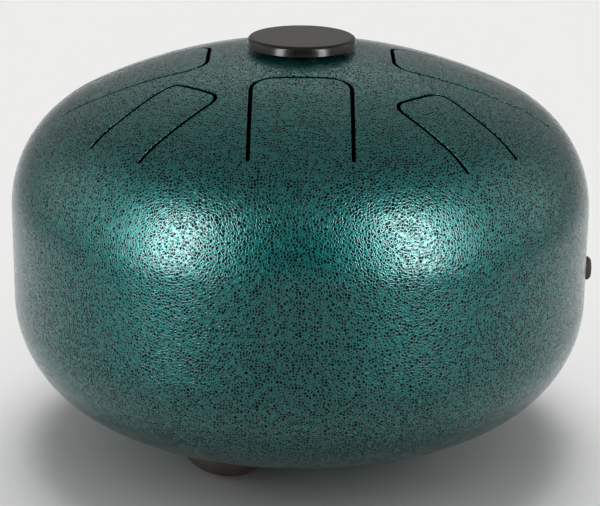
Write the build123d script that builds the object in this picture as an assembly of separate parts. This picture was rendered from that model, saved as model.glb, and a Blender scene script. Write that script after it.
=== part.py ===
from build123d import *
import os
from collections import namedtuple
from math import asin, atan2, cos, hypot, radians, sin, sqrt, tan

# Steel tongue drum, in millimetres. Z is up, the feet stand on Z = 0, and the front tongue points along -Y.
# A bearing is an angle seen from above, counted from the front (-Y) round by the right (+X).

# Body: two equal dished heads of sheet steel, measured on the outside
SHELL_DIAMETER = 304.8
CROWN_RADIUS = 267.0
KNUCKLE_RADIUS = 61.5
SKIRT_LENGTH = 24.2
SHEET = 2.7

# Weld round the middle: a V groove filled from outside, ground flush, with a low bead at its root
WELD_GAP = 1.0
WELD_ROOT_FACE = 0.9
WELD_BEVEL_ANGLE = 32.0
WELD_BEAD_WIDTH = 3.6
WELD_BEAD_HEIGHT = 0.8

# Tongues: widths and corners are taken to the middle of the slot
SLOT_WIDTH = 1.9
LONG_TONGUE_WIDTH = 50.0
LONG_TONGUE_CORNER = 11.0
SHORT_TONGUE_WIDTH = 36.0
SHORT_TONGUE_CORNER = 7.5

# Centre cap: a round head with a split stem that snaps into a hole in the crown
CAP_DIAMETER = 57.2
CAP_HEAD_HEIGHT = 5.2
CAP_LIFT = 0.5
CAP_DRAFT = 0.7
CAP_EDGE_ROUND = 2.4
CAP_WALL = 2.2
CAP_HOLE_DIAMETER = 24.0
CAP_SEAT_WIDTH = 4.0
CAP_STEM_LENGTH = 9.0
CAP_CATCH = 0.7
CAP_CATCH_LAND = 1.1
CAP_SLIT_WIDTH = 2.0

# Feet: three rubber domes with barbed necks, evenly spaced round the axis
FOOT_NAMES = ["foot_front_left", "foot_right", "foot_rear"]
FIRST_FOOT_BEARING = -38.0
FOOT_REACH = 63.5
FOOT_DIAMETER = 43.0
FOOT_HEIGHT = 13.3
FOOT_CONTACT_DEPTH = 0.5
FOOT_HOLE_DIAMETER = 12.0

# Side plug: a small rubber button low on the wall
PLUG_BEARING = 90.0
PLUG_DROP = 13.2
PLUG_DIAMETER = 12.6
PLUG_HEIGHT = 3.9
PLUG_CHAMFER = 1.3
PLUG_HOLE_DIAMETER = 7.0

# Sound port in the middle of the bottom
PORT_DIAMETER = 50.0
PORT_EDGE_ROUND = 0.8

# Fits
NECK_CLEARANCE = 0.15
SEAT_GAP = 0.1
BARB_GAP = 0.3
BARB_OVERSIZE = 1.4
BARB_LENGTH = 6.0

# Each tongue: its bearing, then how far its free end is from the axis and its root from the wall, in plan
Tongue = namedtuple("Tongue", "bearing width corner free_end setback")


def long_tongue(bearing, free_end, setback):
    return Tongue(bearing, LONG_TONGUE_WIDTH, LONG_TONGUE_CORNER, free_end, setback)


def short_tongue(bearing, free_end, setback):
    return Tongue(bearing, SHORT_TONGUE_WIDTH, SHORT_TONGUE_CORNER, free_end, setback)


TONGUES = [
    long_tongue(0, free_end=49.0, setback=35.5),
    short_tongue(45, free_end=81.0, setback=22.0),
    long_tongue(90, free_end=47.5, setback=26.0),
    short_tongue(135, free_end=88.0, setback=20.5),
    long_tongue(180, free_end=46.0, setback=24.0),
    short_tongue(225, free_end=72.0, setback=25.0),
    long_tongue(270, free_end=48.5, setback=30.0),
    short_tongue(315, free_end=73.5, setback=25.5),
]

# Worked out from the sizes above. Heights of a head are counted from the seam's plane.
SHELL_RADIUS = SHELL_DIAMETER / 2
KNUCKLE_REACH = SHELL_RADIUS - KNUCKLE_RADIUS
CROWN_CENTRE = SKIRT_LENGTH - sqrt((CROWN_RADIUS - KNUCKLE_RADIUS) ** 2 - KNUCKLE_REACH**2)
CROWN_ANGLE = atan2(KNUCKLE_REACH, SKIRT_LENGTH - CROWN_CENTRE)
HEAD_HEIGHT = CROWN_CENTRE + CROWN_RADIUS
DRILL_LENGTH = 4 * SHEET


def crown_drop(radius, reach):
    """How far a ball of the given radius falls away from its pole at a distance from the axis."""
    return radius - sqrt(radius**2 - reach**2)


# A foot's axis is square to the crown. Its dome is half an ellipsoid, cut flat where it stands.
FOOT_BEARINGS = [FIRST_FOOT_BEARING + 360 * place / len(FOOT_NAMES) for place in range(len(FOOT_NAMES))]
FOOT_TILT = atan2(FOOT_REACH, sqrt(CROWN_RADIUS**2 - FOOT_REACH**2))
FOOT_SEAT = HEAD_HEIGHT - crown_drop(CROWN_RADIUS, FOOT_REACH)
FOOT_DEPTH = hypot(FOOT_HEIGHT * cos(FOOT_TILT), FOOT_DIAMETER / 2 * sin(FOOT_TILT))
SEAM_HEIGHT = FOOT_SEAT + FOOT_DEPTH - FOOT_CONTACT_DEPTH


def heading(bearing):
    """Level direction of a bearing."""
    return Vector(sin(radians(bearing)), -cos(radians(bearing)), 0)


def on_arc(centre, radius, angle):
    """Point of a profile at an angle from the vertical, round a centre given as reach and height."""
    return centre[0] + radius * sin(angle), centre[1] + radius * cos(angle)


def spin(*outline):
    """Solid of revolution about Z from the edges of a profile drawn as reach and height."""
    return revolve(Plane.XZ * make_face(Curve() + list(outline)), Axis.Z)


def head_profile(depth, opening):
    """Crown and knuckle arcs of a head's section, the given depth inside its outer surface."""
    crown, knuckle = (0, CROWN_CENTRE), (KNUCKLE_REACH, SKIRT_LENGTH)
    crown_radius, knuckle_radius = CROWN_RADIUS - depth, KNUCKLE_RADIUS - depth
    start = asin(opening / crown_radius)
    edge = on_arc(crown, crown_radius, start)
    join = on_arc(crown, crown_radius, CROWN_ANGLE)
    shoulder = (SHELL_RADIUS - depth, SKIRT_LENGTH)
    middle = on_arc(crown, crown_radius, (start + CROWN_ANGLE) / 2)
    bend = on_arc(knuckle, knuckle_radius, (CROWN_ANGLE + radians(90)) / 2)
    return edge, shoulder, [ThreePointArc(edge, middle, join), ThreePointArc(join, bend, shoulder)]


def weld_groove():
    """Corners of a head's bevelled rim, from the outside in."""
    inside = SHELL_RADIUS - SHEET
    bevel = (SHEET - WELD_ROOT_FACE) * tan(radians(WELD_BEVEL_ANGLE))
    land = WELD_GAP / 2
    return (SHELL_RADIUS, land + bevel), (inside + WELD_ROOT_FACE, land), (inside, land)


def head(opening):
    """Dished head with its rim at the seam's plane, its crown up and a round opening in its middle."""
    edge, shoulder, outer = head_profile(0, opening)
    inner_edge, inner_shoulder, inner = head_profile(SHEET, opening)
    rim = Polyline(shoulder, *weld_groove(), inner_shoulder)
    return spin(*outer, rim, *inner, Line(inner_edge, edge))


def tongue_outline(width, corner, free_end, root):
    """Plan of a tongue that points from the front to the axis, round at its free end."""
    block = Pos(0, -free_end) * Rectangle(width, root - free_end, align=(Align.CENTER, Align.MAX))
    return fillet(block.vertices().group_by(Axis.Y)[-1], corner)


def tongue_slot(tongue):
    """Cutter for the U-shaped slot round one tongue, straight down through the crown."""
    root = SHELL_RADIUS - tongue.setback
    half = SLOT_WIDTH / 2
    slot = tongue_outline(tongue.width + SLOT_WIDTH, tongue.corner + half, tongue.free_end - half, root)
    slot -= tongue_outline(tongue.width - SLOT_WIDTH, tongue.corner - half, tongue.free_end + half, root)
    for side in (-1, 1):
        slot += Pos(side * tongue.width / 2, -root) * Circle(half)
    return Rot(0, 0, tongue.bearing) * extrude(slot, HEAD_HEIGHT + SHEET)


def top_shell():
    shell = head(CAP_HOLE_DIAMETER / 2)
    for tongue in TONGUES:
        shell -= tongue_slot(tongue)
    return Pos(0, 0, SEAM_HEIGHT) * shell


def foot_plane(bearing):
    """Plane on the underside where a foot sits, its Z square to the crown and outwards."""
    level = heading(bearing)
    seat = level * FOOT_REACH + Vector(0, 0, SEAM_HEIGHT - FOOT_SEAT)
    outward = level * sin(FOOT_TILT) - Vector(0, 0, cos(FOOT_TILT))
    return Plane(origin=seat, x_dir=heading(bearing + 90), z_dir=outward)


def plug_plane():
    """Plane on the wall where the side plug sits, its Z square to the wall and outwards."""
    seat = heading(PLUG_BEARING) * SHELL_RADIUS + Vector(0, 0, SEAM_HEIGHT - PLUG_DROP)
    return Plane(origin=seat, x_dir=(0, 0, 1), z_dir=heading(PLUG_BEARING))


def bottom_shell():
    shell = head(PORT_DIAMETER / 2)
    port = shell.edges().filter_by(GeomType.CIRCLE).sort_by(SortBy.RADIUS)[:2]
    shell = Pos(0, 0, SEAM_HEIGHT) * mirror(fillet(port, PORT_EDGE_ROUND), Plane.XY)
    for bearing in FOOT_BEARINGS:
        shell -= foot_plane(bearing) * Cylinder(FOOT_HOLE_DIAMETER / 2, DRILL_LENGTH)
    return shell - plug_plane() * Cylinder(PLUG_HOLE_DIAMETER / 2, DRILL_LENGTH)


def seam_weld():
    toe, root, land = weld_groove()
    bead = (SHELL_RADIUS - SHEET, WELD_BEAD_WIDTH / 2)
    upper = [toe, root, land, bead]
    lower = [(reach, -height) for reach, height in upper]
    crest = (SHELL_RADIUS - SHEET - WELD_BEAD_HEIGHT, 0)
    ring = spin(
        Polyline(*upper), ThreePointArc(upper[-1], crest, lower[-1]), Polyline(*lower), Line(toe, lower[0])
    )
    return Pos(0, 0, SEAM_HEIGHT) * ring


def cap_stem():
    """Profile points of the split stem, from the seat under the head down its outside to its bore."""
    hole = CAP_HOLE_DIAMETER / 2
    stem = hole - NECK_CLEARANCE
    snap = hole + CAP_CATCH
    bore = stem - CAP_WALL
    seat = SEAT_GAP - crown_drop(CROWN_RADIUS, stem)
    catch = -SHEET - crown_drop(CROWN_RADIUS - SHEET, snap) - BARB_GAP
    tip = seat - CAP_STEM_LENGTH
    lead_in = (stem + bore) / 2
    return [(stem, seat), (stem, catch), (snap, catch), (snap, catch - CAP_CATCH_LAND),
            (lead_in, tip), (bore, tip)]


def centre_cap():
    """Cap drawn round the crown's pole: head, seat on the crown, hollow stem and a cored underside."""
    rim = CAP_DIAMETER / 2
    top = CAP_LIFT + CAP_HEAD_HEIGHT
    ceiling = top - CAP_WALL
    seat_out = CAP_HOLE_DIAMETER / 2 + CAP_SEAT_WIDTH
    seat_end = (seat_out, SEAT_GAP - crown_drop(CROWN_RADIUS, seat_out))
    stem = cap_stem()
    seat_middle = (stem[0][0] + seat_out) / 2
    seat_arc = ThreePointArc(
        seat_end, (seat_middle, SEAT_GAP - crown_drop(CROWN_RADIUS, seat_middle)), stem[0]
    )
    outside = Polyline((0, top), (rim - CAP_DRAFT, top), (rim, CAP_LIFT))
    underside = Polyline(
        (rim, CAP_LIFT), (rim - CAP_WALL, CAP_LIFT), (rim - CAP_WALL, ceiling), (seat_out, ceiling), seat_end
    )
    bore = stem[-1][0]
    inside = Polyline(*stem, (bore, ceiling), (0, ceiling), (0, top))
    cap = spin(outside, underside, seat_arc, inside)
    crest = cap.edges().filter_by(GeomType.CIRCLE).group_by(Axis.Z)[-1]
    cap = fillet(crest, CAP_EDGE_ROUND)
    tip = stem[-1][1]
    slit = Pos(0, 0, tip) * Box(
        CAP_DIAMETER, CAP_SLIT_WIDTH, -tip - SHEET, align=(Align.CENTER, Align.CENTER, Align.MIN)
    )
    for turn in (0, 90):
        cap -= Rot(0, 0, turn) * slit
    return Pos(0, 0, SEAM_HEIGHT + HEAD_HEIGHT) * cap


def barbed_neck(hole_diameter, seat, shoulder):
    """Profile points of a push-in neck, from the seat down to the tip of its barb on the axis."""
    neck = hole_diameter / 2 - NECK_CLEARANCE
    barb = hole_diameter / 2 + BARB_OVERSIZE
    return [(neck, seat), (neck, shoulder), (barb, shoulder), (neck / 2, shoulder - BARB_LENGTH),
            (0, shoulder - BARB_LENGTH)]


def foot(bearing):
    """Rubber dome that fits the crown, standing on a small flat."""
    radius = FOOT_DIAMETER / 2
    hole = FOOT_HOLE_DIAMETER / 2
    seat = [(reach, SEAT_GAP - crown_drop(CROWN_RADIUS, reach)) for reach in
            (radius, (radius + hole) / 2, hole - NECK_CLEARANCE)]
    shoulder = -SHEET - crown_drop(CROWN_RADIUS - SHEET, hole + BARB_OVERSIZE) - BARB_GAP
    neck = barbed_neck(FOOT_HOLE_DIAMETER, seat[-1][1], shoulder)
    dome = spin(
        EllipticalCenterArc((0, 0), radius, FOOT_HEIGHT, 0, arc_size=90),
        Line((radius, 0), seat[0]),
        ThreePointArc(*seat),
        Polyline(*neck, (0, FOOT_HEIGHT)),
    )
    return split(foot_plane(bearing) * dome, Plane.XY, keep=Keep.TOP)


def side_plug():
    """Rubber button with a chamfered face and a barbed neck."""
    radius = PLUG_DIAMETER / 2
    hole = PLUG_HOLE_DIAMETER / 2
    shoulder = -SHEET - crown_drop(SHELL_RADIUS - SHEET, hole + BARB_OVERSIZE) - BARB_GAP
    neck = barbed_neck(PLUG_HOLE_DIAMETER, SEAT_GAP, shoulder)
    button = spin(
        Polyline((0, PLUG_HEIGHT), (radius - PLUG_CHAMFER, PLUG_HEIGHT), (radius, PLUG_HEIGHT - PLUG_CHAMFER),
                 (radius, SEAT_GAP), *neck, (0, PLUG_HEIGHT))
    )
    return plug_plane() * button


nodes = {
    "top_shell": top_shell(),
    "bottom_shell": bottom_shell(),
    "seam_weld": seam_weld(),
    "centre_cap": centre_cap(),
    "side_plug": side_plug(),
}
for name, bearing in zip(FOOT_NAMES, FOOT_BEARINGS):
    nodes[name] = foot(bearing)

os.makedirs("parts", exist_ok=True)
for name, solid in nodes.items():
    export_step(solid, f"parts/{name}.step")
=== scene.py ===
from collections import namedtuple

import bmesh
import bpy
import numpy as np
from mathutils import Matrix, Vector
from mathutils.geometry import delaunay_2d_cdt


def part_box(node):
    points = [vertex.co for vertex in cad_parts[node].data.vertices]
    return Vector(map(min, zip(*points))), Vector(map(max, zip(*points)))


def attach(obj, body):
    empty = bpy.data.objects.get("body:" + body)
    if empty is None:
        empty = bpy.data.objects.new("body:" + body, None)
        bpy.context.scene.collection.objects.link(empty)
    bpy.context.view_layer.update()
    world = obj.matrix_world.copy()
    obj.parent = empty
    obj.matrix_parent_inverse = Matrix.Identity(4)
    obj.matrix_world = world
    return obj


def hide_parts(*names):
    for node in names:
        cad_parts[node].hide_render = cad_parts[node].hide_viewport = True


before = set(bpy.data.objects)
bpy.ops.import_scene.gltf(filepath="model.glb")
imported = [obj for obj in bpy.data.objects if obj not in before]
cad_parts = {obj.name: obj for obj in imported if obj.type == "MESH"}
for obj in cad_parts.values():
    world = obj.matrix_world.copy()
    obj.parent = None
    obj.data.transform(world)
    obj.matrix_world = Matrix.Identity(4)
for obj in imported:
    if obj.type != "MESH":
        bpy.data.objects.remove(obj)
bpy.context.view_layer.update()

# A steel tongue drum, drawn in millimetres and turned into metres as each mesh is made. Z is up and the
# front is -Y. A bearing is an angle seen from above, counted from the front round by the right.
METRES = 0.001

# Body: two equal dished heads, measured on the outside
SHELL_RADIUS = 152.4
CROWN_RADIUS = 267.0
KNUCKLE_RADIUS = 61.5
SKIRT_LENGTH = 24.2
SHEET = 2.7
EDGE_ROUND = 0.45
LIP_MARGIN = 0.3

# Weld round the middle
WELD_GAP = 1.0
WELD_ROOT_FACE = 0.9
WELD_BEVEL_ANGLE = 32.0
WELD_BEAD_WIDTH = 3.6
WELD_BEAD_HEIGHT = 0.8

# Tongues: widths and corners are taken to the middle of the slot
SLOT_WIDTH = 1.9
LONG_TONGUE = (50.0, 11.0)
SHORT_TONGUE = (36.0, 7.5)

# Centre cap
CAP_DIAMETER = 57.2
CAP_HEAD_HEIGHT = 5.2
CAP_LIFT = 0.5
CAP_DRAFT = 0.7
CAP_EDGE_ROUND = 2.4
CAP_WALL = 2.2
CAP_HOLE_DIAMETER = 24.0
CAP_SEAT_WIDTH = 4.0
CAP_STEM_LENGTH = 9.0
CAP_CATCH = 0.7
CAP_CATCH_LAND = 1.1
CAP_SLIT_WIDTH = 2.0
CAP_RIM_ROUND = 0.3
CAP_CORE_ROUND = 0.4
CAP_STEM_ROUND = 0.2

# Feet
FOOT_NAMES = ["foot_front_left", "foot_right", "foot_rear"]
FIRST_FOOT_BEARING = -38.0
FOOT_REACH = 63.5
FOOT_DIAMETER = 43.0
FOOT_HEIGHT = 13.3
FOOT_HOLE_DIAMETER = 12.0

# Side plug
PLUG_BEARING = 90.0
PLUG_DROP = 13.2
PLUG_DIAMETER = 12.6
PLUG_HEIGHT = 3.9
PLUG_CHAMFER = 1.3
PLUG_HOLE_DIAMETER = 7.0
PLUG_EDGE_ROUND = 0.5
PLUG_SEAT_ROUND = 0.15

# Sound port
PORT_DIAMETER = 50.0
PORT_EDGE_ROUND = 0.8

# Fits
NECK_CLEARANCE = 0.15
SEAT_GAP = 0.1
BARB_GAP = 0.3
BARB_OVERSIZE = 1.4
BARB_LENGTH = 6.0
NECK_ROUND = 0.3
BARB_TIP_ROUND = 0.6

# Fineness of the meshes. A skin reaches past the ends of the slots, and the wall begins there.
SKIN_STEP = 3.0
SKIN_REACH = 139.0
SKIN_RINGS = 13
KNUCKLE_STEPS = 25
SKIRT_ROWS = 6
WALL_SEGMENTS = 360
SMALL_SEGMENTS = 128
HOLE_SEGMENTS = 48
CORNER_STEPS = 9
BEAD_STEPS = 9
DOME_STEPS = 33
SEAT_STEPS = 9
CAP_TOP_RINGS = 12
CAP_SLITS = 4
CAP_SLIT_STEPS = 4
CAP_FINGER_STEPS = 60
PLAN_TOLERANCE = 1e-6
MERGE_DISTANCE = 2e-6
SHARP_ANGLE = 50.0

Tongue = namedtuple("Tongue", "bearing size free_end setback")
TONGUES = [
    Tongue(0, LONG_TONGUE, 49.0, 35.5),
    Tongue(45, SHORT_TONGUE, 81.0, 22.0),
    Tongue(90, LONG_TONGUE, 47.5, 26.0),
    Tongue(135, SHORT_TONGUE, 88.0, 20.5),
    Tongue(180, LONG_TONGUE, 46.0, 24.0),
    Tongue(225, SHORT_TONGUE, 72.0, 25.0),
    Tongue(270, LONG_TONGUE, 48.5, 30.0),
    Tongue(315, SHORT_TONGUE, 73.5, 25.5),
]

# Worked out from the sizes above. Heights of a head are counted from the seam's plane, which the frame gives.
SEAM_HEIGHT = sum(corner.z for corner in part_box("seam_weld")) / 2 / METRES
KNUCKLE_REACH = SHELL_RADIUS - KNUCKLE_RADIUS
CROWN_CENTRE = SKIRT_LENGTH - np.sqrt((CROWN_RADIUS - KNUCKLE_RADIUS) ** 2 - KNUCKLE_REACH**2)
CROWN_ANGLE = np.arctan2(KNUCKLE_REACH, SKIRT_LENGTH - CROWN_CENTRE)
HEAD_HEIGHT = CROWN_CENTRE + CROWN_RADIUS
FOOT_TILT = np.arcsin(FOOT_REACH / CROWN_RADIUS)
FOOT_BEARINGS = [FIRST_FOOT_BEARING + 360 * place / len(FOOT_NAMES) for place in range(len(FOOT_NAMES))]


def heading(bearing):
    """Level direction of a bearing."""
    return np.array([np.sin(np.radians(bearing)), -np.cos(np.radians(bearing))])


def crown_drop(radius, reach):
    """How far a ball of the given radius falls away from its pole at a distance from the axis."""
    return radius - np.sqrt(radius**2 - reach**2)


def head_height(reach, depth):
    """Height of a head's surface above the seam at a reach from the axis, the given depth inside its outside.
    It follows the crown's circle up to where the two circles meet and the knuckle's circle beyond."""
    crown, knuckle = CROWN_RADIUS - depth, KNUCKLE_RADIUS - depth
    join = crown * np.sin(CROWN_ANGLE)
    on_crown = CROWN_CENTRE + np.sqrt(crown**2 - np.minimum(reach, join) ** 2)
    on_knuckle = SKIRT_LENGTH + np.sqrt(knuckle**2 - np.clip(reach - KNUCKLE_REACH, 0, knuckle) ** 2)
    return np.where(reach < join, on_crown, on_knuckle)


def on_head(plan, depth):
    """Points of a plan raised to a head's surface."""
    reach = np.hypot(plan[..., 0], plan[..., 1])
    return np.concatenate([plan, head_height(reach, depth)[..., None]], -1)


def quads(rows, columns, closed_columns=False):
    """Faces of a grid of points, each joined to its neighbours. Rows are closed, and columns on request."""
    r = np.arange(rows if closed_columns else rows - 1)[:, None]
    c = np.arange(columns)[None, :]
    r2, c2 = (r + 1) % rows, (c + 1) % columns
    corners = [r * columns + c, r * columns + c2, r2 * columns + c2, r2 * columns + c]
    return np.stack(corners, -1).reshape(-1, 4)


def spin(profile, segments):
    """Surface of revolution of a profile of (reach, height), its turns counted like bearings."""
    turn = np.linspace(0, 2 * np.pi, segments, endpoint=False)
    reach, height = np.asarray(profile, float).T[:, :, None]
    points = np.stack(np.broadcast_arrays(reach * np.sin(turn), -reach * np.cos(turn), height), -1)
    return points.reshape(-1, 3), quads(len(profile), segments)


def rounded(*corners):
    """Profile through corners (reach, height, round), where a round is an arc that touches both sides."""
    places = np.array([corner[:2] for corner in corners], float)
    line = [places[:1]]
    for before, (*_, radius), corner, after in zip(places, corners[1:], places[1:], places[2:]):
        to_before = (before - corner) / np.linalg.norm(before - corner)
        to_after = (after - corner) / np.linalg.norm(after - corner)
        half = np.arccos(to_before @ to_after) / 2
        middle = (to_before + to_after) / (2 * np.cos(half))
        centre = corner + middle * radius / np.sin(half)
        start, end = (corner + side * radius / np.tan(half) - centre for side in (to_before, to_after))
        sweep = np.linspace(0, np.pi - 2 * half, 1 if radius == 0 else CORNER_STEPS)[:, None]
        span = np.sin(np.pi - 2 * half)
        line.append(centre + (np.sin(np.pi - 2 * half - sweep) * start + np.sin(sweep) * end) / span)
    return np.concatenate([*line, places[-1:]])


def slot_loop(tongue, offset):
    """Closed plan line at a distance from the middle of a tongue's slot.
    Each side is a skeleton moved along the slot's normal by the corner's radius plus or minus the distance.
    Half circles round the slot's two ends join the sides."""
    width, corner = tongue.size
    half, root = width / 2, SHELL_RADIUS - tongue.setback
    inset, bend = half - corner, tongue.free_end + corner
    leg = np.linspace(root, bend, int((root - bend) / SKIN_STEP) + 2)[:-1]
    across = np.linspace(inset, -inset, int(2 * inset / SKIN_STEP) + 2)[1:-1]
    turn = np.linspace(0, np.pi / 2, CORNER_STEPS)
    angle = np.concatenate([0 * leg, turn, 0 * across + np.pi / 2, turn + np.pi / 2, 0 * leg + np.pi])
    out = np.concatenate([leg, 0 * turn + bend, 0 * across + bend, 0 * turn + bend, leg[::-1]])
    aside = np.concatenate([0 * leg + inset, 0 * turn + inset, across, 0 * turn - inset, 0 * leg - inset])
    skeleton, normal = np.stack([aside, out], -1), np.stack([np.cos(angle), -np.sin(angle)], -1)
    round_end = np.pi * np.arange(1, CORNER_STEPS) / CORNER_STEPS
    end = offset * np.stack([-np.cos(round_end), np.sin(round_end)], -1)
    loop = np.concatenate([skeleton + (corner + offset) * normal, end + (-half, root),
                           (skeleton + (corner - offset) * normal)[::-1], end + (half, root)])
    return loop @ np.stack([heading(tongue.bearing + 90), heading(tongue.bearing)])


def slot(tongue):
    """Slot as a closed plan line at a distance outside its wall, the same at every depth."""
    return lambda distance, depth: slot_loop(tongue, SLOT_WIDTH / 2 + distance)


def drilled(radius, reach=0.0, bearing=0.0, steps=SMALL_SEGMENTS):
    """Round hole square to the crown, as a closed plan line at a distance outside its wall and at a depth.
    Its axis runs to the crown's centre, so in plan its middle moves in with depth and its circle narrows."""
    turn = np.linspace(0, 2 * np.pi, steps, endpoint=False)[:, None]
    lean = np.sqrt(1 - (reach / CROWN_RADIUS) ** 2)

    def loop(distance, depth):
        middle = reach * (1 - depth / CROWN_RADIUS)
        outward = middle + (radius + distance) * lean * np.cos(turn)
        return outward * heading(bearing) + (radius + distance) * np.sin(turn) * heading(bearing + 90)

    return loop


def lip(edge_round):
    """Section of a hole's edge as distances outside its wall and depths: over the edge, down and under."""
    turn = np.linspace(0, np.pi / 2, CORNER_STEPS)
    distance, depth = edge_round * (1 - np.sin(turn)), edge_round * (1 - np.cos(turn))
    over = np.concatenate([[[edge_round + LIP_MARGIN, 0]], np.stack([distance, depth], -1)])
    return np.concatenate([over, (over * (1, -1) + (0, SHEET))[::-1]])


def inside(points, loop):
    """Which points lie inside a closed plan line: a ray to the right crosses it an odd number of times."""
    ahead = np.roll(loop, -1, axis=0)
    above = loop[:, 1] > points[:, 1:]
    crosses = above != np.roll(above, -1, axis=1)
    rise = np.where(ahead[:, 1] == loop[:, 1], 1, ahead[:, 1] - loop[:, 1])
    meets = loop[:, 0] + (points[:, 1:] - loop[:, 1]) * (ahead[:, 0] - loop[:, 0]) / rise
    return (crosses & (points[:, :1] < meets)).sum(1) % 2 == 1


def triangles(rim, loops, field):
    """Triangles of a plan inside a closed rim and outside closed loops, over a field of points.
    Points of the field in a loop or near one are left out. Rim and loops stay edges of the triangles."""
    for loop in loops:
        gap = np.hypot(field[:, None, 0] - loop[:, 0], field[:, None, 1] - loop[:, 1]).min(1)
        field = field[(gap > SKIN_STEP / 2) & ~inside(field, loop)]
    lines = [rim, *loops]
    starts = np.cumsum([0] + [len(line) for line in lines])
    edges = [np.stack([first + np.arange(len(line)), first + (np.arange(len(line)) + 1) % len(line)], -1)
             for first, line in zip(starts, lines)]
    points = np.concatenate([*lines, field])
    found = delaunay_2d_cdt(points.tolist(), np.concatenate(edges).tolist(), [], 0, PLAN_TOLERANCE)
    points, faces = np.array([tuple(point) for point in found[0]]), np.array(found[2])
    middles = points[faces].mean(1)
    for loop in loops:
        kept = ~inside(middles, loop)
        middles, faces = middles[kept], faces[kept]
    return points, faces


def skin_plan(loops):
    """Triangles of a head's round plan with holes, over a spiral of points on the crown and rings on the
    knuckle. Spiral point n turns by n golden angles at a reach that grows with the root of n."""
    end = np.arcsin((SKIN_REACH - KNUCKLE_REACH) / KNUCKLE_RADIUS)
    lean = np.linspace(CROWN_ANGLE, end, SKIN_RINGS)[:, None]
    turn = np.linspace(0, 2 * np.pi, WALL_SEGMENTS, endpoint=False)
    turn = turn + np.pi / WALL_SEGMENTS * (np.arange(SKIN_RINGS)[::-1, None] % 2)
    ring_reach = (KNUCKLE_REACH + KNUCKLE_RADIUS * np.sin(lean))[..., None]
    rings = ring_reach * np.stack([np.sin(turn), -np.cos(turn)], -1)
    rim, crown_reach = rings[-1], KNUCKLE_REACH + KNUCKLE_RADIUS * np.sin(CROWN_ANGLE) - SKIN_STEP / 2
    place = np.arange(int(np.pi * (crown_reach / SKIN_STEP) ** 2))
    reach = crown_reach * np.sqrt((place + 0.5) / len(place))
    golden = np.pi * (3 - np.sqrt(5)) * place
    spiral = reach[:, None] * np.stack([np.cos(golden), np.sin(golden)], -1)
    return triangles(rim, loops, np.concatenate([spiral, rings[:-1].reshape(-1, 2)]))


def weld_groove():
    """Corners of a head's bevelled rim as reach and height, from the outside in."""
    bevel = (SHEET - WELD_ROOT_FACE) * np.tan(np.radians(WELD_BEVEL_ANGLE))
    inside_wall, land = SHELL_RADIUS - SHEET, WELD_GAP / 2
    return np.array([(SHELL_RADIUS, land + bevel), (inside_wall + WELD_ROOT_FACE, land), (inside_wall, land)])


def knuckle(depth):
    """Section of a head's knuckle from the skin to the skirt: an arc, the given depth inside its outside."""
    radius = KNUCKLE_RADIUS - depth
    lean = np.linspace(np.arcsin((SKIN_REACH - KNUCKLE_REACH) / radius), np.pi / 2, KNUCKLE_STEPS)
    return np.stack([KNUCKLE_REACH + radius * np.sin(lean), SKIRT_LENGTH + radius * np.cos(lean)], -1)


def on_wall(plan, depth):
    """Points of a strip of arc and height bent round the axis, the given depth inside the wall."""
    turn = plan[..., 0] / SHELL_RADIUS + np.radians(PLUG_BEARING)
    reach = SHELL_RADIUS - depth
    return np.stack([reach * np.sin(turn), -reach * np.cos(turn), plan[..., 1]], -1)


def skirt(depth, end, holes):
    """Straight wall of a head: a flat strip of arc and height with its holes, bent round the axis at a depth.
    Arcs are counted on the outside from the plug's bearing, so that both faces of the wall share turns."""
    arc = np.linspace(-np.pi, np.pi, WALL_SEGMENTS + 1) * SHELL_RADIUS
    grid = np.stack(np.meshgrid(arc, np.linspace(SKIRT_LENGTH, end, SKIRT_ROWS)), -1)
    rim = np.concatenate([grid[0], grid[1:-1, -1], grid[-1, ::-1], grid[-2:0:-1, 0]])
    loops = [loop(edge_round + LIP_MARGIN, depth) for loop, edge_round in holes]
    plan, faces = triangles(rim, loops, grid[1:-1, 1:-1].reshape(-1, 2))
    return on_wall(plan, depth), faces


def drilled_wall(radius, height):
    """Round hole square to the wall, as a closed line of arc and height.
    The line is a function of the distance outside the hole's wall and of the depth."""
    turn = np.linspace(0, 2 * np.pi, HOLE_SEGMENTS, endpoint=False)

    def loop(distance, depth):
        across = np.arcsin((radius + distance) * np.cos(turn) / (SHELL_RADIUS - depth))
        return np.stack([across * SHELL_RADIUS, height + (radius + distance) * np.sin(turn)], -1)

    return loop


def joined(blocks):
    """One list of points and one of faces from several of each."""
    starts = np.cumsum([0] + [len(points) for points, _ in blocks])
    return (np.concatenate([points for points, _ in blocks]),
            [face for start, (_, faces) in zip(starts, blocks) for face in (faces + start).tolist()])


def head(holes, wall_holes=()):
    """Dished head with its rim at the seam's plane: outer and inner skin, wall and the edges of its holes.
    Each hole is a closed plan line as a function of distance and depth, with the round of its edge."""
    groove = weld_groove()
    blocks = [spin(groove, WALL_SEGMENTS)]
    for depth, end in ((0, groove[0][1]), (SHEET, groove[-1][1])):
        plan, faces = skin_plan([loop(edge_round + LIP_MARGIN, depth) for loop, edge_round in holes])
        blocks += [(on_head(plan, depth), faces), spin(knuckle(depth), WALL_SEGMENTS),
                   skirt(depth, end, wall_holes)]
    for surface, cuts in ((on_head, holes), (on_wall, wall_holes)):
        for loop, edge_round in cuts:
            rows = np.stack([surface(loop(distance, depth), depth) for distance, depth in lip(edge_round)])
            blocks.append((rows.reshape(-1, 3), quads(*rows.shape[:2])))
    return joined(blocks)


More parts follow.
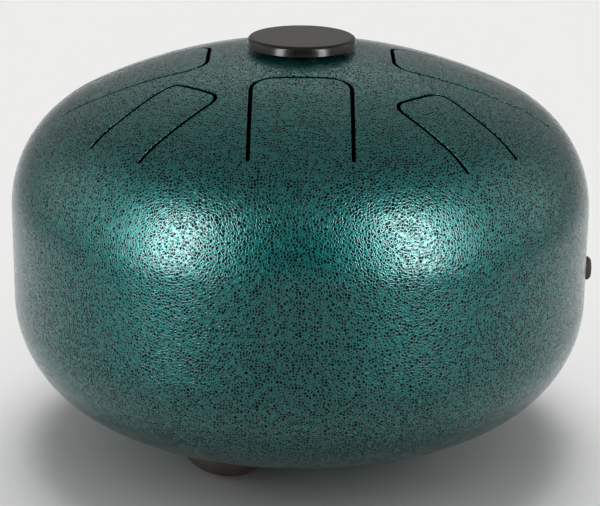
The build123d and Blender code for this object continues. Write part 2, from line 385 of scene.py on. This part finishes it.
def add_piece(name, points, faces, nodes, material):
    """Mesh object from points in millimetres: doubles merged, faces outwards, smooth but for sharp edges."""
    mesh = bpy.data.meshes.new(name)
    mesh.from_pydata((points * METRES).tolist(), [], faces)
    work = bmesh.new()
    work.from_mesh(mesh)
    bmesh.ops.remove_doubles(work, verts=work.verts, dist=MERGE_DISTANCE)
    loose = [vertex for vertex in work.verts if not vertex.link_faces]
    bmesh.ops.delete(work, geom=loose, context="VERTS")
    bmesh.ops.recalc_face_normals(work, faces=work.faces)
    work.to_mesh(mesh)
    work.free()
    mesh.shade_smooth()
    mesh.set_sharp_from_angle(angle=np.radians(SHARP_ANGLE))
    mesh.materials.append(material)
    piece = bpy.data.objects.new(name, mesh)
    drum.objects.link(piece)
    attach(piece, "root")
    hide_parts(*nodes)


class Nodes:
    """Node tree, with one call per node."""

    def __init__(self, tree):
        self.tree = tree

    def add(self, kind, settings=None, **inputs):
        """New node; inputs are values or other nodes' outputs, with _ for a space in a socket's name."""
        node = self.tree.nodes.new(kind)
        for key, value in (settings or {}).items():
            setattr(node, key, value)
        for key, value in inputs.items():
            self.put(node.inputs[int(key[1:]) if key[1:].isdigit() else key.replace("_", " ")], value)
        return node

    def put(self, socket, value):
        """Link or value of one socket."""
        if isinstance(value, bpy.types.NodeSocket):
            self.tree.links.new(value, socket)
        else:
            socket.default_value = value

    def math(self, operation, a, b=0.0):
        """Result of one operation on a value, or on two."""
        return self.add("ShaderNodeMath", {"operation": operation}, i0=a, i1=b).outputs[0]

    def between(self, value, low, high, to_low=0.0, to_high=1.0):
        """Smooth step of a value from one range to another."""
        return self.add("ShaderNodeMapRange", {"interpolation_type": "SMOOTHSTEP"}, Value=value, From_Min=low,
                        From_Max=high, To_Min=to_low, To_Max=to_high).outputs["Result"]


class Shader(Nodes):
    """Node tree of a new material."""

    def __init__(self, name):
        self.material = bpy.data.materials.new(name)
        self.material.use_nodes = True
        super().__init__(self.material.node_tree)
        self.surface = self.tree.nodes["Principled BSDF"]
        self.place = self.add("ShaderNodeTexCoord").outputs["Object"]

    def noise(self, scale, detail=2.0, roughness=0.5):
        """Cloudy noise, its scale in waves per metre."""
        return self.add("ShaderNodeTexNoise", Vector=self.place, Scale=scale, Detail=detail,
                        Roughness=roughness).outputs[0]

    def blend(self, share, a, b):
        """Colour between a and b."""
        return self.add("ShaderNodeMix", {"data_type": "RGBA"}, i0=share, i6=a, i7=b).outputs[2]

    def bump(self, height, distance):
        """Normal of a relief, its full height as a distance in metres."""
        return self.add("ShaderNodeBump", Height=height, Distance=distance, Strength=1.0).outputs["Normal"]

    def finish(self, **inputs):
        """Material with the inputs of its surface set."""
        for key, value in inputs.items():
            self.put(self.surface.inputs[key.replace("_", " ")], value)
        return self.material


# Hammered paint. Scales are per metre, reliefs and levels above the floor in metres, colours linear.
PAINT_CELLS = 700.0
PAINT_SCATTER = 0.95
PAINT_SWAY = 0.0008
PAINT_PEEL = 300.0
PAINT_CLOUD = 60.0
PAINT_RELIEF = 0.00010
LACQUER_RELIEF = 0.00006
RIDGE_DEEP = (0.018, 0.250, 0.238, 1)
RIDGE_PALE = (0.030, 0.268, 0.256, 1)
RIDGE_FOOT = (0.008, 0.170, 0.162, 1)
HOLLOW_LOW = (0.001, 0.008, 0.007, 1)
# Hollow colour on the crown, made brighter as a painted reflection of overhead light
HOLLOW_CROWN_REFLECTION = (0.001, 0.016, 0.015, 1)
SLOT_WALL = (0.003, 0.008, 0.008, 1)
FLAKE_EDGE_TINT = (0.35, 0.5, 0.5, 1)
# Painted shade and painted reflection: by level above the floor, the paint's colour is scaled down low down
# and brightened on the crown
PAINTED_SHADE_LEVELS = (0.08, 0.15)
PAINTED_SHADE_TONE, UNSHADED_TONE, PAINTED_CROWN_REFLECTION = 0.74, 0.95, 0.40
CROWN_REFLECTION_LEVELS = (0.165, 0.215)
SLOT_LEVELS = (0.170, 0.180)
UPRIGHT = (0.3, 0.5)

# Parts of a paint cell, by the distance to its edge as a share of its size
NET_WIDTH = 0.12
HOLLOW_EDGE = (0.06, 0.14)
PIT_EDGE = (0.16, 0.30)
RELIEF_WIDTH = 0.30
PEEL_SHARE = 0.9
FILLED_CHANCE = (0.65, 0.90)
FILLED_SHARE = 0.60
CLOUD_RANGE = (0.35, 0.65)


def hammer_paint():
    """Hammered paint: metal flakes in a net of ridges round dark hollows, under clear lacquer.
    A pit in each hollow breaks the lacquer, and some hollows are filled. The colour is darker low down as
    painted shade and brighter on the crown as a painted reflection, and the walls of the slots are nearly
    black."""
    s = Shader("hammer_paint")
    sway = s.add("ShaderNodeTexNoise", Vector=s.place, Scale=PAINT_CELLS, Detail=1.0).outputs["Color"]
    moved = s.add("ShaderNodeVectorMath", {"operation": "MULTIPLY_ADD"}, i0=sway, i1=(PAINT_SWAY,) * 3,
                  i2=s.place).outputs[0]
    edges, cells = (s.add("ShaderNodeTexVoronoi", {"feature": feature}, Vector=moved, Scale=PAINT_CELLS,
                          Randomness=PAINT_SCATTER) for feature in ("DISTANCE_TO_EDGE", "F1"))
    edge = edges.outputs["Distance"]
    chance = s.add("ShaderNodeSeparateColor", i0=cells.outputs["Color"]).outputs[0]
    filled = s.between(chance, *FILLED_CHANCE)
    peel = s.noise(PAINT_PEEL)
    cloud = s.noise(PAINT_CLOUD)
    net = s.between(edge, 0.0, NET_WIDTH, 1.0, 0.0)
    cell = s.between(edge, *HOLLOW_EDGE)
    pit = s.math("MULTIPLY", s.between(edge, *PIT_EDGE), s.math("SUBTRACT", 1.0, filled))
    relief = s.math("SUBTRACT", s.math("MULTIPLY", peel, PEEL_SHARE), s.between(edge, 0.0, RELIEF_WIDTH))

    normal = s.add("ShaderNodeNewGeometry").outputs["True Normal"]
    facing = s.math("ABSOLUTE", s.add("ShaderNodeSeparateXYZ", i0=normal).outputs["Z"])
    level = s.add("ShaderNodeSeparateXYZ", i0=s.place).outputs["Z"]
    cut = s.math("MULTIPLY", s.between(facing, *UPRIGHT, 1.0, 0.0), s.between(level, *SLOT_LEVELS))
    # Painted reflection: the crown mask brightens ridges and hollows high up, standing in for overhead light
    crown = s.between(level, *CROWN_REFLECTION_LEVELS)
    # Painted shade low down and painted reflection on the crown, as one scale on the ridges' colour
    painted_light_tone = s.math("ADD", s.between(level, *PAINTED_SHADE_LEVELS, PAINTED_SHADE_TONE, UNSHADED_TONE),
                  s.math("MULTIPLY", crown, PAINTED_CROWN_REFLECTION))

    ridge = s.blend(net, RIDGE_FOOT, s.blend(s.between(cloud, *CLOUD_RANGE), RIDGE_DEEP, RIDGE_PALE))
    ridge = s.add("ShaderNodeVectorMath", {"operation": "SCALE"}, i0=ridge, Scale=painted_light_tone).outputs[0]
    dark = s.blend(crown, HOLLOW_LOW, HOLLOW_CROWN_REFLECTION)
    hollow = s.blend(s.math("MULTIPLY", filled, FILLED_SHARE), dark, ridge)
    return s.finish(
        Base_Color=s.blend(cut, s.blend(cell, ridge, hollow), SLOT_WALL),
        Metallic=0.95,
        Roughness=s.between(cell, 0.0, 1.0, 0.38, 0.45),
        Specular_Tint=FLAKE_EDGE_TINT,
        Normal=s.bump(relief, PAINT_RELIEF),
        Coat_Weight=s.math("MULTIPLY", s.between(pit, 0.1, 0.9, 1.0, 0.05), s.math("SUBTRACT", 1.0, cut)),
        Coat_Roughness=0.10,
        Coat_IOR=1.60,
        Coat_Normal=s.bump(relief, LACQUER_RELIEF),
    )


def cap_plastic():
    """Moulded black plastic with a faint unevenness in its polish."""
    s = Shader("cap_plastic")
    ripple = s.noise(90.0)
    grain = s.noise(900.0, 3.0, 0.6)
    return s.finish(
        Base_Color=s.blend(ripple, (0.004, 0.004, 0.004, 1), (0.007, 0.007, 0.006, 1)),
        Roughness=s.between(grain, 0.3, 0.7, 0.18, 0.26),
        Normal=s.bump(grain, 0.00001),
    )


def black_rubber():
    """Matt rubber, nearly black with a brown cast, with a fine grain."""
    s = Shader("black_rubber")
    grain = s.noise(1400.0, 4.0, 0.6)
    bloom = s.noise(70.0)
    return s.finish(
        Base_Color=s.blend(s.between(bloom, 0.35, 0.65), (0.030, 0.022, 0.018, 1), (0.042, 0.031, 0.025, 1)),
        Roughness=s.between(grain, 0.3, 0.7, 0.55, 0.75),
        Normal=s.bump(grain, 0.00006),
    )


def at_seam(points, side):
    """A head's points moved to the seam, crown up or crown down."""
    return points * (1, 1, side) + (0, 0, SEAM_HEIGHT)


def barbed_neck(hole_diameter, seat, shoulder):
    """Profile corners of a push-in neck, from the seat down to the tip of its barb on the axis."""
    neck, barb = hole_diameter / 2 - NECK_CLEARANCE, hole_diameter / 2 + BARB_OVERSIZE
    tip = shoulder - BARB_LENGTH
    return [(neck, seat, NECK_ROUND), (neck, shoulder, 0), (barb, shoulder, NECK_ROUND),
            (neck / 2, tip, BARB_TIP_ROUND), (0, tip, 0)]


def placed(points, origin, across, outward):
    """Points drawn round Z set on a plane: X runs across it, Z outwards, from its origin."""
    across, outward = np.asarray(across, float), np.asarray(outward, float)
    return origin + points @ np.stack([across, np.cross(outward, across), outward])


def foot(bearing):
    """Rubber dome: half an ellipse spun round an axis square to the crown, pressed flat on the floor."""
    radius, hole = FOOT_DIAMETER / 2, FOOT_HOLE_DIAMETER / 2
    turn = np.linspace(np.pi / 2, 0, DOME_STEPS)
    dome = np.stack([radius * np.cos(turn), FOOT_HEIGHT * np.sin(turn)], -1)
    reach = np.linspace(radius, hole, SEAT_STEPS)
    seat = np.stack([reach, SEAT_GAP - crown_drop(CROWN_RADIUS, reach)], -1)
    shoulder = -SHEET - crown_drop(CROWN_RADIUS - SHEET, hole + BARB_OVERSIZE) - BARB_GAP
    neck = rounded((hole, seat[-1][1], 0), *barbed_neck(FOOT_HOLE_DIAMETER, seat[-1][1], shoulder))[1:]
    points, faces = spin(np.concatenate([dome, seat, neck]), SMALL_SEGMENTS)
    level = np.append(heading(bearing), 0)
    up = np.array([0, 0, 1])
    seat_height = CROWN_CENTRE + np.sqrt(CROWN_RADIUS**2 - FOOT_REACH**2)
    origin = level * FOOT_REACH + up * (SEAM_HEIGHT - seat_height)
    points = placed(points, origin, np.append(heading(bearing + 90), 0),
                    level * np.sin(FOOT_TILT) - up * np.cos(FOOT_TILT))
    points[:, 2] = np.maximum(points[:, 2], 0)
    return points, faces


def side_plug():
    """Rubber button with a chamfered face and a barbed neck, spun round a line square to the wall."""
    radius, hole = PLUG_DIAMETER / 2, PLUG_HOLE_DIAMETER / 2
    shoulder = -SHEET - crown_drop(SHELL_RADIUS - SHEET, hole + BARB_OVERSIZE) - BARB_GAP
    profile = rounded((0, PLUG_HEIGHT), (radius - PLUG_CHAMFER, PLUG_HEIGHT, PLUG_EDGE_ROUND),
                      (radius, PLUG_HEIGHT - PLUG_CHAMFER, PLUG_EDGE_ROUND),
                      (radius, SEAT_GAP, PLUG_SEAT_ROUND),
                      *barbed_neck(PLUG_HOLE_DIAMETER, SEAT_GAP, shoulder))
    points, faces = spin(profile, SMALL_SEGMENTS)
    outward = np.append(heading(PLUG_BEARING), 0)
    return placed(points, outward * SHELL_RADIUS + (0, 0, SEAM_HEIGHT - PLUG_DROP), (0, 0, 1), outward), faces


def seam_weld():
    """Ring that fills the bevels between the two rims, flush outside, with a low bead inside."""
    upper, half = weld_groove(), WELD_BEAD_WIDTH / 2
    height = np.linspace(half, -half, BEAD_STEPS)
    bead = np.stack([SHELL_RADIUS - SHEET - WELD_BEAD_HEIGHT * (1 - (height / half) ** 2), height], -1)
    profile = np.concatenate([upper, bead, upper[::-1] * (1, -1)])
    points, _ = spin(profile, WALL_SEGMENTS)
    return points, quads(len(profile), WALL_SEGMENTS, closed_columns=True)


def centre_cap():
    """Cap spun round the crown's pole: flat head with a rounded edge, cored underside, seat and split stem.
    At each profile point the turns are spread so that the slits' sides are flat, half a slit from an axis.
    Between the stem's fingers the faces are left out, and each slit gets two sides and a ceiling."""
    rim, hole = CAP_DIAMETER / 2, CAP_HOLE_DIAMETER / 2
    top = CAP_LIFT + CAP_HEAD_HEIGHT
    ceiling = top - CAP_WALL
    seat_out, stem, snap = hole + CAP_SEAT_WIDTH, hole - NECK_CLEARANCE, hole + CAP_CATCH
    bore = stem - CAP_WALL
    seat_end, seat = (SEAT_GAP - crown_drop(CROWN_RADIUS, reach) for reach in (seat_out, stem))
    catch = -SHEET - crown_drop(CROWN_RADIUS - SHEET, snap) - BARB_GAP
    tip = seat - CAP_STEM_LENGTH
    outside = rounded((0, top), (rim - CAP_DRAFT, top, CAP_EDGE_ROUND), (rim, CAP_LIFT, CAP_RIM_ROUND),
                      (rim - CAP_WALL, CAP_LIFT, CAP_RIM_ROUND), (rim - CAP_WALL, ceiling, CAP_CORE_ROUND),
                      (seat_out, ceiling, CAP_CORE_ROUND), (seat_out, seat_end, CAP_STEM_ROUND),
                      (stem, seat, 0), (stem, -SHEET))
    finger = rounded((stem, -SHEET), (stem, catch, 0), (snap, catch, CAP_STEM_ROUND),
                     (snap, catch - CAP_CATCH_LAND, CAP_STEM_ROUND), ((stem + bore) / 2, tip, CAP_STEM_ROUND),
                     (bore, tip, CAP_STEM_ROUND), (bore, -SHEET))
    core = rounded((bore, -SHEET), (bore, ceiling, CAP_CORE_ROUND), (0, ceiling))
    flat = np.stack([np.linspace(0, outside[1][0], CAP_TOP_RINGS), np.full(CAP_TOP_RINGS, top)], -1)
    reach, height = np.concatenate([flat, outside[2:], finger[1:], core[1:]]).T[:, :, None]
    first = len(flat) + len(outside) - 3
    last = first + len(finger) - 1
    half = np.arcsin(CAP_SLIT_WIDTH / 2 / np.maximum(reach, bore))
    over_slit = half * np.linspace(-1, 1, CAP_SLIT_STEPS, endpoint=False)
    sector = 2 * np.pi / CAP_SLITS
    over_finger = half + (sector - 2 * half) * np.linspace(0, 1, CAP_FINGER_STEPS, endpoint=False)
    quarter = np.concatenate([over_slit, over_finger], 1)
    turn = np.concatenate([quarter + number * sector for number in range(CAP_SLITS)], 1)
    points = np.stack(np.broadcast_arrays(reach * np.sin(turn), -reach * np.cos(turn), height), -1)
    rows, columns = turn.shape
    faces = quads(rows, columns).reshape(rows - 1, columns, 4)
    slit = np.arange(columns) % (columns // CAP_SLITS) < CAP_SLIT_STEPS
    kept = np.ones((rows - 1, columns), bool)
    kept[first:last] = ~slit
    ceilings = np.concatenate([faces[first, slit, :2], faces[last - 1, slit, 2:]], 1)
    sides = np.flatnonzero(slit != np.roll(slit, 1))[:, None] + columns * np.arange(first, last + 1)
    return points.reshape(-1, 3), [*faces[kept].tolist(), *ceilings.tolist(), *sides.tolist()]


paint, plastic, rubber = hammer_paint(), cap_plastic(), black_rubber()
drum = bpy.data.collections.new("drum")
bpy.context.scene.collection.children.link(drum)
stage = bpy.data.collections.new("stage")
bpy.context.scene.collection.children.link(stage)

points, faces = head([(drilled(CAP_HOLE_DIAMETER / 2), EDGE_ROUND)] +
                     [(slot(tongue), EDGE_ROUND) for tongue in TONGUES])
add_piece("top_shell_skin", at_seam(points, 1), faces, ["top_shell"], paint)

points, faces = head([(drilled(PORT_DIAMETER / 2), PORT_EDGE_ROUND)] +
                     [(drilled(FOOT_HOLE_DIAMETER / 2, FOOT_REACH, bearing, HOLE_SEGMENTS), EDGE_ROUND)
                      for bearing in FOOT_BEARINGS],
                     [(drilled_wall(PLUG_HOLE_DIAMETER / 2, PLUG_DROP), EDGE_ROUND)])
add_piece("bottom_shell_skin", at_seam(points, -1), faces, ["bottom_shell"], paint)

points, faces = seam_weld()
add_piece("seam_weld_ring", at_seam(points, 1), faces.tolist(), ["seam_weld"], paint)

points, faces = centre_cap()
add_piece("centre_cap_moulding", at_seam(points + (0, 0, HEAD_HEIGHT), 1), faces, ["centre_cap"],
          plastic)

for name, bearing in zip(FOOT_NAMES, FOOT_BEARINGS):
    points, faces = foot(bearing)
    add_piece(f"{name}_dome", points, faces.tolist(), [name], rubber)

points, faces = side_plug()
add_piece("side_plug_button", points, faces.tolist(), ["side_plug"], rubber)


def towards(azimuth, elevation):
    """Direction seen from the drum: azimuth is a bearing, elevation an angle above the level."""
    level = heading(azimuth) * np.cos(np.radians(elevation))
    return Vector((*level, np.sin(np.radians(elevation))))


# The camera looks at the middle of the body, and turns the picture slightly.
MIDDLE = Vector((0, 0, SEAM_HEIGHT * METRES))
CAMERA_DISTANCE = 1.1
CAMERA_ELEVATION = 18.04
CAMERA_ROLL = 0.52
SENSOR_WIDTH = 36.0
FOCAL_WIDTHS = 3.418
SHIFT_UP = -0.0185
CLIP_START = 0.05

# Brightness of the room's walls and roof, where 1 is white
SIDE_WALLS = 0.56
FRONT_WALL = 0.03
REAR_WALL = 0.32
REAR_BAY = 0.60
ROOF = 0.22
ROOM_COLOUR = (1.0, 0.98, 0.95, 1)

# Where they fade in, as parts of a direction: to the side, to the rear or up
SIDE_FADE = (0.75, 0.97)
REAR_FADE = (-0.6, 0.6)
BAY_FADE = (0.93, 1.0)
BAY_FOOT = (0.34, 0.50)
ROOF_FADE = (0.40, 0.80)

# Lamps, in metres
SOFTBOX_DISTANCE = 1.3
SOFTBOX_SIZE = (0.38, 1.10)
FLOOR_LAMP_PLACE = Vector((0, 1.06, 0.8))
FLOOR_LAMP_SIZE = (1.1, 2.4)
FLOOR_LAMP_SPREAD = 36.0
FULL_SPREAD = 180.0
FLOOR_REACH = 6.0
FLOOR_COLOUR = (0.9, 0.9, 0.9, 1)


def add_camera():
    """Camera in front of the drum, a little above it."""
    camera = bpy.data.objects.new("camera", bpy.data.cameras.new("camera"))
    bpy.context.scene.collection.objects.link(camera)
    camera.data.sensor_width = SENSOR_WIDTH
    camera.data.lens = FOCAL_WIDTHS * SENSOR_WIDTH
    camera.data.shift_y = SHIFT_UP
    camera.data.clip_start = CLIP_START
    back = towards(0, CAMERA_ELEVATION)
    aim = (-back).to_track_quat("-Z", "Y").to_matrix().to_4x4()
    roll = Matrix.Rotation(np.radians(CAMERA_ROLL), 4, "Z")
    camera.matrix_world = Matrix.Translation(MIDDLE + back * CAMERA_DISTANCE) @ aim @ roll
    bpy.context.scene.camera = camera


def add_lamp(name, place, aim, size, brightness, lit, spread=FULL_SPREAD):
    """Rectangular lamp at a place, facing along aim, that lights one collection. Brightness is its face's."""
    lamp = bpy.data.lights.new(name, "AREA")
    lamp.shape = "RECTANGLE"
    lamp.size, lamp.size_y = size
    lamp.energy = brightness * np.pi * size[0] * size[1]
    lamp.spread = np.radians(spread)
    box = bpy.data.objects.new(name, lamp)
    bpy.context.scene.collection.objects.link(box)
    box.matrix_world = Matrix.Translation(place) @ aim.to_track_quat("-Z", "Y").to_matrix().to_4x4()
    box.light_linking.receiver_collection = lit
    box.visible_camera = False


def add_softbox(name, azimuth, elevation, brightness):
    """Lamp that faces the drum and leaves the floor alone."""
    out = towards(azimuth, elevation)
    add_lamp(name, MIDDLE + out * SOFTBOX_DISTANCE, -out, SOFTBOX_SIZE, brightness, drum)


def add_sun(name, strength, azimuth, elevation, softness):
    """Broad even light that falls on the floor only, so that the floor is pale and the drum isn't overlit."""
    lamp = bpy.data.lights.new(name, "SUN")
    lamp.energy = strength
    lamp.angle = np.radians(softness)
    sun = bpy.data.objects.new(name, lamp)
    bpy.context.scene.collection.objects.link(sun)
    sun.matrix_world = towards(azimuth, elevation).to_track_quat("Z", "Y").to_matrix().to_4x4()
    sun.light_linking.receiver_collection = stage


def add_room():
    """World light: bright walls to the left and right, a dark one round the camera, a dimmer one behind and
    overhead, and a bay high up behind the drum, which the cap and the crown reflect."""
    world = bpy.data.worlds.new("room")
    bpy.context.scene.world = world
    world.use_nodes = True
    s = Nodes(world.node_tree)
    direction = s.add("ShaderNodeTexCoord").outputs["Generated"]
    level = s.add("ShaderNodeVectorMath", {"operation": "MULTIPLY"}, i0=direction, i1=(1, 1, 0)).outputs[0]
    level = s.add("ShaderNodeVectorMath", {"operation": "NORMALIZE"}, i0=level).outputs[0]
    across, along, _ = s.add("ShaderNodeSeparateXYZ", i0=level).outputs
    height = s.add("ShaderNodeSeparateXYZ", i0=direction).outputs["Z"]
    sides = s.between(s.math("ABSOLUTE", across), *SIDE_FADE, 0.0, SIDE_WALLS)
    ends = s.between(along, *REAR_FADE, FRONT_WALL, REAR_WALL)
    bay = s.math("MULTIPLY", s.between(along, *BAY_FADE, 0.0, REAR_BAY), s.between(height, *BAY_FOOT))
    walls = s.math("ADD", s.math("ADD", sides, ends), bay)
    room = s.add("ShaderNodeMix", i0=s.between(height, *ROOF_FADE), i2=walls, i3=ROOF).outputs[0]
    background = s.tree.nodes["Background"]
    s.put(background.inputs["Strength"], room)
    s.put(background.inputs["Color"], ROOM_COLOUR)


def add_floor():
    """Plain pale floor."""
    size = FLOOR_REACH
    mesh = bpy.data.meshes.new("floor")
    corners = [(-size, -size, 0), (size, -size, 0), (size, size, 0), (-size, size, 0)]
    mesh.from_pydata(corners, [], [(0, 1, 2, 3)])
    floor = bpy.data.objects.new("floor", mesh)
    stage.objects.link(floor)
    paper = Shader("floor_paper")
    mesh.materials.append(paper.finish(Base_Color=FLOOR_COLOUR, Roughness=1.0, Specular_IOR_Level=0.0))


add_camera()
add_room()
add_floor()
add_softbox("left_softbox", azimuth=-46, elevation=16, brightness=9.8)
add_softbox("right_softbox", azimuth=44, elevation=20, brightness=9.4)
add_lamp("floor_light", FLOOR_LAMP_PLACE, aim=Vector((0, 0, -1)), size=FLOOR_LAMP_SIZE, brightness=0.55,
         lit=stage, spread=FLOOR_LAMP_SPREAD)
add_sun("floor_fill", strength=0.50, azimuth=0, elevation=45, softness=70)
bpy.context.scene.view_settings.view_transform = "Standard"
